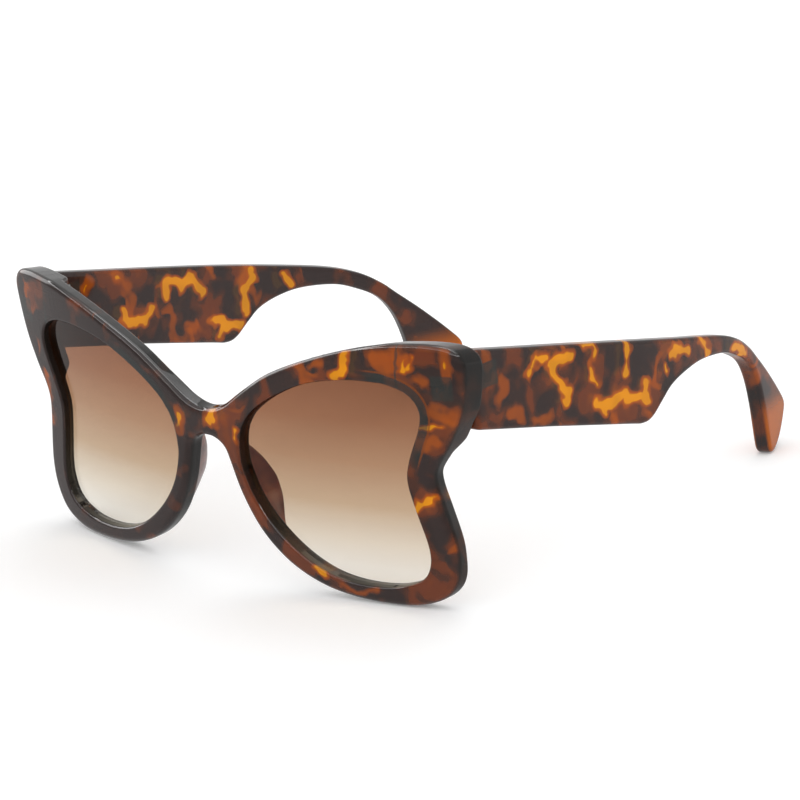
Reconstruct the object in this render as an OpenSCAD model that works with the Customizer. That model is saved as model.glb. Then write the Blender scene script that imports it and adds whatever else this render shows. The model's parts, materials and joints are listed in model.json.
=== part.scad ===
// Butterfly sunglasses with folding temples, standing on the rims and the temple tips.
// X runs across the face, the front looks along -Y, the temples run back along +Y.
// The origin is under the middle of the part, on the surface that it stands on.

/* [Front] */
// Width of the front, from wing tip to wing tip
front_width = 140; // [125:1:155]
// Height of the front, from the rim bottoms to the brow
front_height = 60; // [52:0.5:66]
// Radius of the face wrap that the front and the lenses follow
wrap_radius = 228; // [190:1:320]
// Thickness of the rims, front to back
rim_depth = 4.4; // [4:0.1:5]
// Thickness of the end pieces that carry the hinges
end_depth = 6.9; // [6:0.1:8]
// Forward lean of the front, when it stands on a table (degrees)
front_lean = 1.25; // [0:0.25:4]
// Flat cut along every edge of the rims
edge_cut = 0.7; // [0.3:0.1:1]

/* [Lenses] */
// Thickness of the lenses
lens_thick = 1.6; // [1.4:0.1:1.8]
// Depth of the lens groove below the wall of the opening
groove_deep = 0.6; // [0.4:0.05:0.8]
// Distance of the lens behind the front face
lens_set_back = 1.9; // [1.4:0.1:2]

/* [Nose] */
// Height of the bridge at its middle
bridge_height = 6.4; // [5:0.1:8]
// Reach of the nose pads behind the rims
pad_reach = 4.75; // [3:0.25:7]
// Thickness of the free edge of a nose pad
pad_edge = 1.4; // [1:0.1:2]
// Outward slant of the nose pads (degrees)
pad_splay = 24; // [10:1:32]

/* [Hinges] */
// Distance of a hinge from the wing tip, along the width
hinge_inset = 7.9; // [7.5:0.1:9]
// Drop of the hinge middle below the brow
hinge_drop = 7.7; // [7:0.1:9]
// Diameter of the hinge barrels
barrel_d = 2.8; // [2.4:0.1:3]
// Height of the hinge, over its three barrels
hinge_tall = 5.4; // [4.8:0.1:5.7]
// Thickness of the hinge leaves
leaf_thick = 1; // [0.8:0.1:1.2]
// Length of the leaf let into an end piece
front_leaf_long = 7; // [6:0.1:7.2]
// Length of the leaf moulded into a temple
temple_leaf_long = 5; // [4:0.25:8]
// Cover of acetate over that leaf, on the temple's inner face
leaf_cover = 0.8; // [0.5:0.1:1.2]
// Diameter of the hinge screw
screw_d = 1.2; // [1:0.1:1.4]
// Diameter of the screw's head
screw_head_d = 2.1; // [1.8:0.1:2.3]

/* [Temples] */
// Depth of the part, from the bridge to the ends of the temples
overall_depth = 131; // [115:1:145]
// Thickness of the temples
temple_thick = 4; // [3.4:0.1:4.6]
// Inward curve of a temple at its end
tail_inward = 15; // [8:0.5:17]
// Downward slope of the temples (degrees)
temple_slope = 14.5; // [10:0.5:18]

/* [Fits] */
// Running gap round the hinge screw
screw_gap = 0.05; // [0.03:0.01:0.08]
// Gap between the hinge barrels
barrel_gap = 0.1; // [0.08:0.01:0.15]
// Gap between a temple and its end piece
butt_gap = 0.25; // [0.2:0.01:0.35]
// Gap round a lens in its groove
lens_gap = 0.1; // [0.06:0.01:0.15]

/* [Hidden] */

frame_colour = [0.30, 0.17, 0.10];
lens_colour = [0.62, 0.46, 0.36, 0.55];
pad_colour = [0.42, 0.22, 0.12];
metal_colour = [0.72, 0.72, 0.70];

half_width = front_width / 2;
curve_steps = 3;
round_facets = 48;

// Stations round one rim, from the top of the nose side over the brow and the wing:
// outer edge across and up, opening edge across and up, end piece (1) or plain rim (0).
rim_shares = [
    [0.107, 0.694, 0.166, 0.612, 0], [0.171, 0.747, 0.209, 0.672, 0],
    [0.286, 0.830, 0.314, 0.750, 0], [0.443, 0.903, 0.450, 0.815, 0],
    [0.600, 0.958, 0.593, 0.843, 0], [0.729, 0.989, 0.700, 0.843, 0],
    [0.786, 0.996, 0.736, 0.839, 1], [0.886, 1.000, 0.789, 0.819, 1],
    [0.964, 0.986, 0.820, 0.793, 1], [0.998, 0.937, 0.836, 0.761, 1],
    [0.993, 0.853, 0.840, 0.727, 1], [0.968, 0.733, 0.830, 0.679, 1],
    [0.920, 0.621, 0.806, 0.616, 1], [0.878, 0.546, 0.783, 0.551, 0],
    [0.869, 0.480, 0.771, 0.480, 0], [0.890, 0.373, 0.790, 0.369, 0],
    [0.914, 0.240, 0.817, 0.245, 0], [0.905, 0.136, 0.816, 0.172, 0],
    [0.857, 0.050, 0.789, 0.116, 0], [0.764, 0.007, 0.729, 0.084, 0],
    [0.657, 0.000, 0.650, 0.068, 0], [0.529, 0.010, 0.540, 0.071, 0],
    [0.407, 0.041, 0.436, 0.098, 0], [0.289, 0.106, 0.334, 0.159, 0],
    [0.189, 0.210, 0.243, 0.248, 0], [0.123, 0.341, 0.180, 0.344, 0],
    [0.086, 0.472, 0.144, 0.455, 0], [0.074, 0.555, 0.143, 0.526, 0],
    [0.080, 0.632, 0.152, 0.573, 0]];

// Bridge from its middle to inside the rim: across, top and bottom as rises over the middle
bridge_shares = [[0, 0.652, 0], [0.036, 0.658, -0.10], [0.071, 0.671, -0.30],
    [0.100, 0.692, -0.62], [0.129, 0.710, -0.80]];

// Nose pad from its bottom to its top, at neighbouring rim stations: reach behind the rim
pad_shares = [0.12, 0.36, 0.60, 0.82, 0.97, 1, 0.90, 0.72, 0.45, 0.12];
pad_low_station = 23 * curve_steps + 2;
pad_root_share = 0.26;
pad_face_share = 0.80;

// Side outline of a temple: back along the depth of the part, up over the table
temple_shares = [
    [0.227, 0.892], [0.367, 0.816], [0.513, 0.735], [0.624, 0.671], [0.752, 0.593],
    [0.817, 0.535], [0.858, 0.475], [0.889, 0.412], [0.929, 0.328], [0.976, 0.218],
    [0.998, 0.152], [0.990, 0.103], [0.961, 0.036], [0.929, 0.001], [0.911, 0.018],
    [0.904, 0.078], [0.894, 0.215], [0.877, 0.331], [0.849, 0.417], [0.806, 0.477],
    [0.761, 0.517], [0.692, 0.541], [0.639, 0.535], [0.595, 0.512], [0.565, 0.472],
    [0.536, 0.430], [0.511, 0.421], [0.467, 0.447], [0.290, 0.556]];
// Front end of that outline, ahead of the cut that meets the end piece
temple_root_shares = [[0.060, 0.690], [0.060, 0.984]];
// Inward curve of a temple: back along the depth of the part, share of its whole inward curve
inward_shares = [[0.050, 0], [0.300, -0.03], [0.480, -0.04], [0.600, 0.02], [0.690, 0.14],
    [0.780, 0.31], [0.860, 0.52], [0.930, 0.75], [1.010, 1.04], [1.060, 1.24]];

// Lens middle, which its rings of points close in on
lens_middle = [0.500 * half_width, 0.464 * front_height];
lens_ring_shares = [0.34, 0.68, 1];

groove_front = lens_set_back - lens_gap;
groove_back = lens_set_back + lens_thick + lens_gap;
lens_edge_in = groove_deep - lens_gap;

hinge_height = front_height - hinge_drop;
barrel_r = barrel_d / 2;
axis_gap = 0.2;
axis_back = barrel_r + axis_gap;
hinge_turn = asin((half_width - hinge_inset) / wrap_radius);
end_back = wrap_radius * (1 - cos(hinge_turn)) + end_depth;
axis_x = half_width - hinge_inset - axis_back * sin(hinge_turn);
axis_y = end_back + axis_back * cos(hinge_turn);
knuckle_tall = (hinge_tall - 2 * barrel_gap) / 3;
knuckle_step = knuckle_tall + barrel_gap;
neck_wide = 0.8 * barrel_r;
neck_start = -axis_back - leaf_thick / 2;
leaf_side_gap = 1.2;
leaf_start = 2.2;
fit_gap = 0.05;
pocket_gap = 0.3;
screw_head_tall = 0.6;
slot_wide = 0.35;
slot_deep = 0.3;

temple_x = axis_x + leaf_side_gap + temple_thick;

// Point of a smooth curve between b and c, where a and d are the points before and after
function curve_point(a, b, c, d, t) =
    (2 * b + (c - a) * t + (2 * a - 5 * b + 4 * c - d) * t * t
    + (3 * b - a - 3 * c + d) * t * t * t) / 2;

// Smooth closed curve through a list of points
function closed_curve(pts, steps) =
    let (n = len(pts))
    [for (i = [0:n - 1]) for (j = [0:steps - 1])
        curve_point(pts[(i + n - 1) % n], pts[i], pts[(i + 1) % n], pts[(i + 2) % n], j / steps)];

// Smooth open curve through a list of points, its ends included
function open_curve(pts, steps) =
    let (n = len(pts))
    [for (i = [0:n - 2]) for (j = [0:(i == n - 2 ? steps : steps - 1)])
        curve_point(pts[max(i - 1, 0)], pts[i], pts[i + 1], pts[min(i + 2, n - 1)], j / steps)];

// Point on the wrap: across, up, and deep behind the front face. All walls run straight back,
// along the way in which such a front leaves its mould.
function on_wrap(across, up, deep) =
    [across, wrap_radius * (1 - cos(asin(across / wrap_radius))) + deep, up];

rim_line = closed_curve(rim_shares, curve_steps);
rim_count = len(rim_line);

function outer_at(s) = [s[0] * half_width, s[1] * front_height];
function inner_at(s) = [s[2] * half_width, s[3] * front_height];
function rim_wide(s) = norm(outer_at(s) - inner_at(s));
function depth_at(s) = rim_depth + (end_depth - rim_depth) * min(1, max(0, s[4]));

// Places of a point once the front leans
function stood_y(p) = p[1] * cos(front_lean) - p[2] * sin(front_lean);
function stood_z(p) = p[1] * sin(front_lean) + p[2] * cos(front_lean);

// Point of the rim at one station: out from the wall of the opening, and deep below the face
function rim_point(s, out, deep) =
    let (p = inner_at(s) + (outer_at(s) - inner_at(s)) * out / rim_wide(s))
    on_wrap(p[0], p[1], deep);

// Outline of a temple's side, and the levels and places that stand the part on its origin
temple_line = concat(open_curve(temple_shares, curve_steps), temple_root_shares);
temple_low = front_height * min([for (p = temple_line) p[1]]);
temple_end = overall_depth * max([for (p = temple_line) p[0]]);
stand_up = -min([for (s = rim_line) stood_z(rim_point(s, rim_wide(s), edge_cut))]);
front_start = min([for (s = rim_line) stood_y(rim_point(s, rim_wide(s) - edge_cut, 0))]);
centre_back = (front_start + temple_end) / 2;

// Closed ring of rim sections: cut edges outside, and the lens groove in the opening's wall
function rim_section(s) =
    let (w = rim_wide(s), d = depth_at(s), c = edge_cut)
    [rim_point(s, c, 0), rim_point(s, 0, c), rim_point(s, 0, groove_front),
        rim_point(s, groove_deep, groove_front), rim_point(s, groove_deep, groove_back),
        rim_point(s, 0, groove_back), rim_point(s, 0, d - c), rim_point(s, c, d),
        rim_point(s, w - c, d), rim_point(s, w, d - c), rim_point(s, w, c),
        rim_point(s, w - c, 0)];

// Triangles between neighbouring loops of k points each, for the pairs of loops given
function band_faces(pairs, k) =
    [for (p = pairs) for (j = [0:k - 1]) let (m = (j + 1) % k)
        each [[p[0] * k + j, p[0] * k + m, p[1] * k + m], [p[0] * k + j, p[1] * k + m, p[1] * k + j]]];

module closed_ring(loops) {
    k = len(loops[0]);
    n = len(loops);
    polyhedron([for (l = loops) each l], band_faces([for (i = [0:n - 1]) [i, (i + 1) % n]], k));
}

// Solid through a row of loops, closed by its first and last loop
module lofted(loops) {
    k = len(loops[0]);
    n = len(loops);
    ends = [[for (j = [k - 1:-1:0]) j], [for (j = [0:k - 1]) (n - 1) * k + j]];
    polyhedron([for (l = loops) each l],
        concat(band_faces([for (i = [0:n - 2]) [i, i + 1]], k), ends));
}

module rim() closed_ring([for (i = [rim_count - 1:-1:0]) rim_section(rim_line[i])]);

// One cut of the bridge at a distance across, with cut edges
function bridge_section(across, top, bottom) =
    let (d = rim_depth - fit_gap, f = fit_gap, c = edge_cut)
    [on_wrap(across, top - c, f), on_wrap(across, top, f + c), on_wrap(across, top, d - c),
        on_wrap(across, top - c, d), on_wrap(across, bottom + c, d), on_wrap(across, bottom, d - c),
        on_wrap(across, bottom, f + c), on_wrap(across, bottom + c, f)];

module bridge() {
    half = open_curve(bridge_shares, curve_steps);
    last = len(half) - 1;
    row = concat([for (i = [last:-1:1]) [-half[i][0], half[i][1], half[i][2]]], half);
    low = bridge_shares[0][1] * front_height - bridge_height;
    lofted([for (b = row)
        bridge_section(b[0] * half_width, b[1] * front_height, low + b[2] * bridge_height)]);
}

// The front's own upright position, leaning forward until it stands on rims and temple tips
module standing() translate([0, -centre_back, stand_up]) rotate([front_lean, 0, 0]) children();

module at_hinge() translate([axis_x, axis_y, hinge_height]) children();

// Frame of the end piece's back face at the hinge: -X runs inwards along the face
module at_end_face() at_hinge() rotate([0, 0, hinge_turn]) children();

module front_leaf_plate(grow, rise = 0) {
    floor_y = -axis_back - leaf_thick;
    translate([-front_leaf_long - grow, floor_y, -hinge_tall / 2 - grow])
        cube([front_leaf_long + 2 * grow, leaf_thick + rise, hinge_tall + 2 * grow]);
}

// Recess for that leaf, open to the back of the curved end piece
module front_leaf_recess() front_leaf_plate(fit_gap, axis_back);

module temple_leaf_plate(grow) {
    rotate([-temple_slope - front_lean, 0, 0])
        translate([leaf_side_gap + leaf_cover - grow, leaf_start - grow, -hinge_tall / 2 - grow])
            cube([leaf_thick + 2 * grow, temple_leaf_long + 2 * grow, hinge_tall + 2 * grow]);
}

// Bar from the temple's barrel to its leaf
module temple_neck(grow) {
    translate([-grow, -grow, -knuckle_tall / 2 - grow])
        cube([leaf_side_gap + leaf_cover + leaf_thick / 2 + 2 * grow,
            leaf_start + leaf_thick + 2 * grow, knuckle_tall + 2 * grow]);
}

module barrel(level) {
    translate([0, 0, level * knuckle_step - knuckle_tall / 2])
        cylinder(h = knuckle_tall, r = barrel_r, $fn = round_facets);
}

module screw_bore() {
    translate([0, 0, -hinge_tall])
        cylinder(h = 2 * hinge_tall, d = screw_d + 2 * screw_gap, $fn = round_facets);
}

module front_frame() color(frame_colour) standing() {
    difference() {
        union() {
            rim();
            mirror([1, 0, 0]) rim();
            bridge();
        }
        at_end_face() front_leaf_recess();
        mirror([1, 0, 0]) at_end_face() front_leaf_recess();
    }
}

// Edge of the lens, just inside the bottom of its groove
function lens_edge(s) =
    let (p = inner_at(s))
    p + (outer_at(s) - p) * lens_edge_in / rim_wide(s);

function lens_ring(share, deep) =
    [for (s = rim_line) let (p = lens_middle + (lens_edge(s) - lens_middle) * share)
        on_wrap(p[0], p[1], deep)];

module lens() color(lens_colour) standing() {
    front_deep = lens_set_back;
    back_deep = lens_set_back + lens_thick;
    rings = len(lens_ring_shares);
    loops = concat([for (share = lens_ring_shares) lens_ring(share, back_deep)],
        [for (i = [rings - 1:-1:0]) lens_ring(lens_ring_shares[i], front_deep)]);
    middles = [on_wrap(lens_middle[0], lens_middle[1], back_deep),
        on_wrap(lens_middle[0], lens_middle[1], front_deep)];
    first_middle = len(loops) * rim_count;
    last_loop = first_middle - rim_count;
    fans = [for (j = [0:rim_count - 1]) let (m = (j + 1) % rim_count)
        each [[first_middle, m, j], [first_middle + 1, last_loop + j, last_loop + m]]];
    polyhedron(concat([for (l = loops) each l], middles),
        concat(band_faces([for (i = [0:len(loops) - 2]) [i, i + 1]], rim_count), fans));
}

function pad_section(s, reach) =
    let (w = rim_wide(s), d = depth_at(s), face = w * pad_face_share, slant = reach * tan(pad_splay))
    [rim_point(s, w * pad_root_share, d), rim_point(s, face - slant - pad_edge, d + reach),
        rim_point(s, face - slant, d + reach), rim_point(s, face, d)];

module nose_pad() color(pad_colour) standing()
    lofted([for (i = [len(pad_shares) - 1:-1:0])
        pad_section(rim_line[pad_low_station + i], pad_reach * pad_shares[i])]);

module front_hinge() color(metal_colour) standing() difference() {
    union() {
        at_end_face() front_leaf_plate(0);
        for (level = [-1, 1]) {
            at_hinge() barrel(level);
            at_end_face() translate([-neck_wide, neck_start, level * knuckle_step - knuckle_tall / 2])
                cube([neck_wide, -neck_start, knuckle_tall]);
        }
    }
    at_hinge() screw_bore();
}

module temple_hinge() color(metal_colour) standing() difference() {
    union() {
        at_hinge() temple_leaf_plate(0);
        at_hinge() barrel(0);
        at_hinge() temple_neck(0);
    }
    at_hinge() screw_bore();
}

module hinge_screw() color(metal_colour) standing() at_hinge() difference() {
    union() {
        translate([0, 0, -hinge_tall / 2])
            cylinder(h = hinge_tall + screw_head_tall, d = screw_d, $fn = round_facets);
        translate([0, 0, hinge_tall / 2])
            cylinder(h = screw_head_tall, d = screw_head_d, $fn = round_facets);
    }
    translate([-screw_head_d, -slot_wide / 2, hinge_tall / 2 + screw_head_tall - slot_deep])
        cube([2 * screw_head_d, slot_wide, screw_head_tall]);
}

// Outer face of a temple from above, and the face inside it
outer_line = [for (p = open_curve(inward_shares, curve_steps))
    [temple_x - p[1] * tail_inward, p[0] * overall_depth]];

function square_in(line, i, thick) =
    let (t = line[min(i + 1, len(line) - 1)] - line[max(i - 1, 0)])
    line[i] + [-t[1], t[0]] * thick / norm(t);

module temple_band() {
    last = len(outer_line) - 1;
    linear_extrude(height = 2 * front_height)
        polygon(concat(outer_line, [for (i = [last:-1:0]) square_in(outer_line, i, temple_thick)]));
}

module temple_side() {
    rotate([90, 0, 90]) linear_extrude(height = front_width)
        polygon([for (p = temple_line) [p[0] * overall_depth, p[1] * front_height - temple_low]]);
}

module temple() color(frame_colour) difference() {
    translate([0, -centre_back, 0]) intersection() {
        temple_side();
        temple_band();
    }
    standing() {
        at_end_face()
            translate([-front_height / 2, -axis_back + butt_gap - front_height, -front_height / 2])
                cube(front_height);
        at_hinge() temple_leaf_plate(fit_gap);
        at_hinge() temple_neck(fit_gap);
        at_hinge() translate([0, 0, -hinge_tall])
            cylinder(h = 2 * hinge_tall, r = barrel_r + pocket_gap, $fn = round_facets);
    }
}

front_frame();
lens();  // lens_left
mirror([1, 0, 0]) lens();  // lens_right
nose_pad();  // nose_pad_left
mirror([1, 0, 0]) nose_pad();  // nose_pad_right
front_hinge();  // front_hinge_left
mirror([1, 0, 0]) front_hinge();  // front_hinge_right
hinge_screw();  // hinge_screw_left
mirror([1, 0, 0]) hinge_screw();  // hinge_screw_right
temple();  // temple_left
mirror([1, 0, 0]) temple();  // temple_right
temple_hinge();  // temple_hinge_left
mirror([1, 0, 0]) temple_hinge();  // temple_hinge_right
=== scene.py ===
# %% [markdown]
# # Butterfly sunglasses in tortoise acetate
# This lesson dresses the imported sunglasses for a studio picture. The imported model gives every
# size and place: the pieces of the front, and one temple on each side that folds on its
# hinge. Here the front, the lenses, the nose pads and the temples are modelled again as
# smooth, rounded pieces over the plain ones, and the hinges keep their exact shapes.

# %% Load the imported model
import json
import math

import bmesh
import bpy
from mathutils import Matrix, Vector, kdtree


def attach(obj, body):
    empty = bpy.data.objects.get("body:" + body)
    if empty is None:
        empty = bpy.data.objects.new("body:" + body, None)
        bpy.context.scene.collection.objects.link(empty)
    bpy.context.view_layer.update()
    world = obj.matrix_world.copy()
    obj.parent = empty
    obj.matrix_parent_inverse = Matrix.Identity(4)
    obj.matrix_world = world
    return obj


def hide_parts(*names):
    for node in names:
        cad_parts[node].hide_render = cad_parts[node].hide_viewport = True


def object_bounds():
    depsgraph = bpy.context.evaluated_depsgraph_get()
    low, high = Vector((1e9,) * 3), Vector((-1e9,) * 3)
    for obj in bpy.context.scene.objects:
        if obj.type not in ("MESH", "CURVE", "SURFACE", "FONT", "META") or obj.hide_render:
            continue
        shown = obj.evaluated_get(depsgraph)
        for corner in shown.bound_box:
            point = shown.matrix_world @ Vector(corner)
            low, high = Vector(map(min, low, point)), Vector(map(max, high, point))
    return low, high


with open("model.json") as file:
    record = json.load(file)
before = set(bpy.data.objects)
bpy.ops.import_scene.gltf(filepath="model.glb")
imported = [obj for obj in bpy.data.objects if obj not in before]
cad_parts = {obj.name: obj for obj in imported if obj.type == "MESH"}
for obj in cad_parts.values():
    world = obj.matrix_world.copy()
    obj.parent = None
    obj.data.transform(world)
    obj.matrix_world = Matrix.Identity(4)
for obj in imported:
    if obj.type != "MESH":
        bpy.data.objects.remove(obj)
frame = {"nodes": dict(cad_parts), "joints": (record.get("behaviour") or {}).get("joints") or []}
packed_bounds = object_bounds()
MM = 0.001

# %% [markdown]
# The driving sizes repeat those of the source, in metres. The front is cut flat and then bent
# round the face, so each piece of it is first modelled on a flat sheet: X across, Z up, and Y
# for the depth behind the front face. The wrap pushes each point straight back, so the walls
# run straight back too, as they do on a front that comes out of a mould.

# %% Driving sizes
HALF_WIDTH = 70 * MM
HEIGHT = 60 * MM
WRAP_RADIUS = 228 * MM
RIM_DEPTH = 4.4 * MM
END_DEPTH = 6.9 * MM
LENS_SET_BACK = 1.9 * MM
LENS_THICK = 1.6 * MM
LENS_EDGE_IN = 0.5 * MM
LEAN = math.radians(1.25)

DEPTH = 131 * MM
TEMPLE_THICK = 4 * MM
TAIL_INWARD = 15 * MM
TEMPLE_SLOPE = math.radians(14.5)

HINGE_INSET = 7.9 * MM
HINGE_DROP = 7.7 * MM
HINGE_TALL = 5.4 * MM
BARREL_RADIUS = 1.4 * MM
AXIS_GAP = 0.2 * MM
LEAF_THICK = 1 * MM
LEAF_SIDE_GAP = 1.2 * MM
BUTT_GAP = 0.25 * MM
FIT_GAP = 0.05 * MM

hinge_turn = math.asin((HALF_WIDTH - HINGE_INSET) / WRAP_RADIUS)
axis_back = BARREL_RADIUS + AXIS_GAP
axis_flat = Vector((HALF_WIDTH - HINGE_INSET - axis_back * math.sin(hinge_turn),
                    WRAP_RADIUS * (1 - math.cos(hinge_turn)) + END_DEPTH + axis_back * math.cos(hinge_turn),
                    HEIGHT - HINGE_DROP))
temple_x = axis_flat.x + LEAF_SIDE_GAP + TEMPLE_THICK
hinge_joint = next(j for j in frame["joints"] if j["name"] == "temple_left_fold")
hinge_point = Vector(hinge_joint["pos_m"])
lean_turn = Matrix.Rotation(LEAN, 3, "X")
stand_shift = hinge_point - lean_turn @ axis_flat
print("temple outer face at x", round(temple_x / MM, 2), "mm; front moved by",
      [round(v / MM, 3) for v in stand_shift], "mm")

# %% [markdown]
# Nearly every outline here is a smooth curve through a few listed points. A curve of the
# kind that passes through its points is easy to steer, because a point says where the edge of
# the real piece is. The helpers below sample such a curve, and lay flat work on the wrap. A
# share that rises smoothly between two limits is needed often as well.

# %% Curves and the wrap
def curve_point(a, b, c, d, t):
    return (2 * b + (c - a) * t + (2 * a - 5 * b + 4 * c - d) * t ** 2
            + (3 * b - a - 3 * c + d) * t ** 3) / 2


def closed_curve(points, steps):
    count = len(points)
    return [curve_point(points[i - 1], points[i], points[(i + 1) % count], points[(i + 2) % count], j / steps)
            for i in range(count) for j in range(steps)]


def open_curve(points, steps, before=None, after=None):
    row = [before or points[0]] + points + [after or points[-1]]
    inside = [curve_point(*row[i:i + 4], j / steps) for i in range(len(points) - 1) for j in range(steps)]
    return inside + [points[-1]]


def on_wrap(flat):
    sag = WRAP_RADIUS * (1 - math.cos(math.asin(flat.x / WRAP_RADIUS)))
    bent = Vector((flat.x, sag + flat.y, flat.z))
    return lean_turn @ bent + stand_shift


def smooth_step(low, high, value):
    t = min(1, max(0, (value - low) / (high - low)))
    return t * t * (3 - 2 * t)


set_back = on_wrap(Vector((HALF_WIDTH, 0, 0))).y - on_wrap(Vector((0, 0, 0))).y
print("the wrap sets the outer ends back by", round(set_back / MM, 2), "mm")

# %% [markdown]
# An operator works on whatever is selected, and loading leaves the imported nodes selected. These
# helpers start each piece from a clean selection, choose vertices, edges or faces by a rule on
# their place, and apply a modifier as soon as it is set, so every step can be checked at once.

# %% Selection helpers
def select_nothing():
    if bpy.context.object and bpy.context.object.mode != "OBJECT":
        bpy.ops.object.mode_set(mode="OBJECT")
    bpy.ops.object.select_all(action="DESELECT")


def only(piece):
    select_nothing()
    piece.select_set(True)
    bpy.context.view_layer.objects.active = piece


def new_piece(name, maker, **sizes):
    select_nothing()
    maker(**sizes)
    piece = bpy.context.object
    piece.name = name
    piece.data.name = name
    return piece


def edit(piece, mode="VERT"):
    only(piece)
    bpy.ops.object.mode_set(mode="EDIT")
    bpy.ops.mesh.select_mode(type=mode)
    bpy.ops.mesh.select_all(action="SELECT")


def pick(piece, kind, rule):
    mesh = bmesh.from_edit_mesh(piece.data)
    bpy.ops.mesh.select_all(action="DESELECT")
    count = 0
    for part in getattr(mesh, kind):
        if rule(part):
            part.select_set(True)
            count += 1
    mesh.select_flush_mode()
    bmesh.update_edit_mesh(piece.data)
    return count


def apply(piece, kind, **settings):
    only(piece)
    modifier = piece.modifiers.new(kind.title(), kind)
    for key, value in settings.items():
        setattr(modifier, key, value)
    bpy.ops.object.modifier_apply(modifier=modifier.name)


# %% [markdown]
# A circle or a grid with enough points is the start of most pieces here, and each of its points
# is moved to its own place. Extruding it gives the thickness. Faces are turned outward by an
# operator, and the sign of the volume tells whether it was right.

# %% Shaping helpers
def join(first, *others):
    only(first)
    for other in others:
        other.select_set(True)
    bpy.ops.object.join()
    return first


def place_at_origin(piece):
    only(piece)
    bpy.ops.object.transform_apply(location=True, rotation=True, scale=True)


def face_outward(piece):
    edit(piece, "FACE")
    bpy.ops.mesh.normals_make_consistent(inside=False)
    if bmesh.from_edit_mesh(piece.data).calc_volume(signed=True) < 0:
        bpy.ops.mesh.flip_normals()
    bpy.ops.object.mode_set(mode="OBJECT")


def move_points(piece, rule):
    for point in piece.data.vertices:
        point.co = rule(point.co.copy())
    piece.data.update()


def shaped_piece(name, maker, places, **sizes):
    piece = new_piece(name, maker, **sizes)
    place_at_origin(piece)
    for point, place in zip(piece.data.vertices, places):
        point.co = place
    return piece


def loop_of(name, places, fill="NOTHING"):
    return shaped_piece(name, bpy.ops.mesh.primitive_circle_add, places, vertices=len(places),
                        radius=HEIGHT, fill_type=fill)


def thicken(piece, by):
    edit(piece, "FACE")
    bpy.ops.mesh.extrude_region_move(TRANSFORM_OT_translate={"value": by})
    face_outward(piece)


print("meshes before any modelling:", len(bpy.data.meshes))

# %% [markdown]
# The front is one moulded piece: two butterfly rims, the bridge between them and the thick end
# pieces that carry the hinges. Half of it is drawn as two loops, the outer edge and the edge of
# the lens opening. Row by row the table gives shares of the half width and of the height, from
# the top of the bridge over the brow and the wing, and back along the nose. The few rows before
# and after it belong to one loop only: the outer edge of the bridge, or the opening beside it.

# %% Outline of half the front
front_rows = [
    (0.075, 0.673, 0.158, 0.595), (0.107, 0.694, 0.166, 0.612), (0.171, 0.747, 0.209, 0.672),
    (0.286, 0.830, 0.314, 0.750), (0.443, 0.903, 0.450, 0.815), (0.600, 0.958, 0.593, 0.843),
    (0.729, 0.989, 0.700, 0.843), (0.786, 0.996, 0.736, 0.839), (0.886, 1.000, 0.789, 0.819),
    (0.964, 0.986, 0.820, 0.793), (0.998, 0.937, 0.836, 0.761), (0.993, 0.853, 0.840, 0.727),
    (0.968, 0.733, 0.830, 0.679), (0.920, 0.621, 0.806, 0.616), (0.878, 0.546, 0.783, 0.551),
    (0.869, 0.480, 0.771, 0.480), (0.890, 0.373, 0.790, 0.369), (0.914, 0.240, 0.817, 0.245),
    (0.905, 0.136, 0.816, 0.172), (0.857, 0.050, 0.789, 0.116), (0.764, 0.007, 0.729, 0.084),
    (0.657, 0.000, 0.650, 0.068), (0.529, 0.010, 0.540, 0.071), (0.407, 0.041, 0.436, 0.098),
    (0.289, 0.106, 0.334, 0.159), (0.189, 0.210, 0.243, 0.248), (0.123, 0.341, 0.180, 0.344),
    (0.090, 0.455, 0.146, 0.445), (0.072, 0.512, 0.142, 0.490)]
bridge_top_rows = [(0.000, 0.652), (0.036, 0.657)]
bridge_low_rows = [(0.038, 0.540), (0.000, 0.547)]
nose_rows = [(0.143, 0.526), (0.149, 0.566)]
ROW_STEPS = 8


def on_sheet(across, up, deep=0.0):
    return Vector((across * HALF_WIDTH, deep, up * HEIGHT))


edge_rows = [on_sheet(*row) for row in bridge_top_rows]
edge_rows += [on_sheet(row[0], row[1]) for row in front_rows]
edge_rows += [on_sheet(*row) for row in bridge_low_rows]
across_middle = Vector((-1, 1, 1))
outer_line = open_curve(edge_rows, ROW_STEPS, edge_rows[1] * across_middle, edge_rows[-2] * across_middle)
opening_line = closed_curve([on_sheet(row[2], row[3]) for row in front_rows]
                            + [on_sheet(*row) for row in nose_rows], ROW_STEPS)
print("points on the outer edge and on the opening:", len(outer_line), len(opening_line))


# %% [markdown]
# Two circles with as many points as the loops are moved onto them. While they are still bare
# wires, a few rounds of smoothing even out their bends. The rows that both loops share are
# bridged into a band of quads, and one face closes the part beside the nose. The Mirror
# modifier makes the other half and merges the middle line.

# %% Flat front
MIDDLE_KEPT = 1.5 * MM
SOFTEN_ROUNDS = 4
MIRROR_MERGE = 0.02 * MM


def soften_wire(ring):
    edit(ring)
    pick(ring, "verts", lambda v: v.co.x > MIDDLE_KEPT)
    bpy.ops.mesh.vertices_smooth(factor=0.5, repeat=SOFTEN_ROUNDS)
    bpy.ops.object.mode_set(mode="OBJECT")


outer_ring = loop_of("front", outer_line)
opening_ring = loop_of("opening", opening_line)
for ring in (outer_ring, opening_ring):
    soften_wire(ring)
outer_line = [v.co.copy() for v in outer_ring.data.vertices]
opening_line = [v.co.copy() for v in opening_ring.data.vertices]

shared = (len(front_rows) - 1) * ROW_STEPS
first_outer = len(bridge_top_rows) * ROW_STEPS
first_opening = len(outer_line)
front = join(outer_ring, opening_ring)
edit(front, "EDGE")


def in_shared_rows(edge):
    places = [v.index for v in edge.verts]
    start = first_opening if min(places) >= first_opening else first_outer
    return start <= min(places) and max(places) <= start + shared


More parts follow.
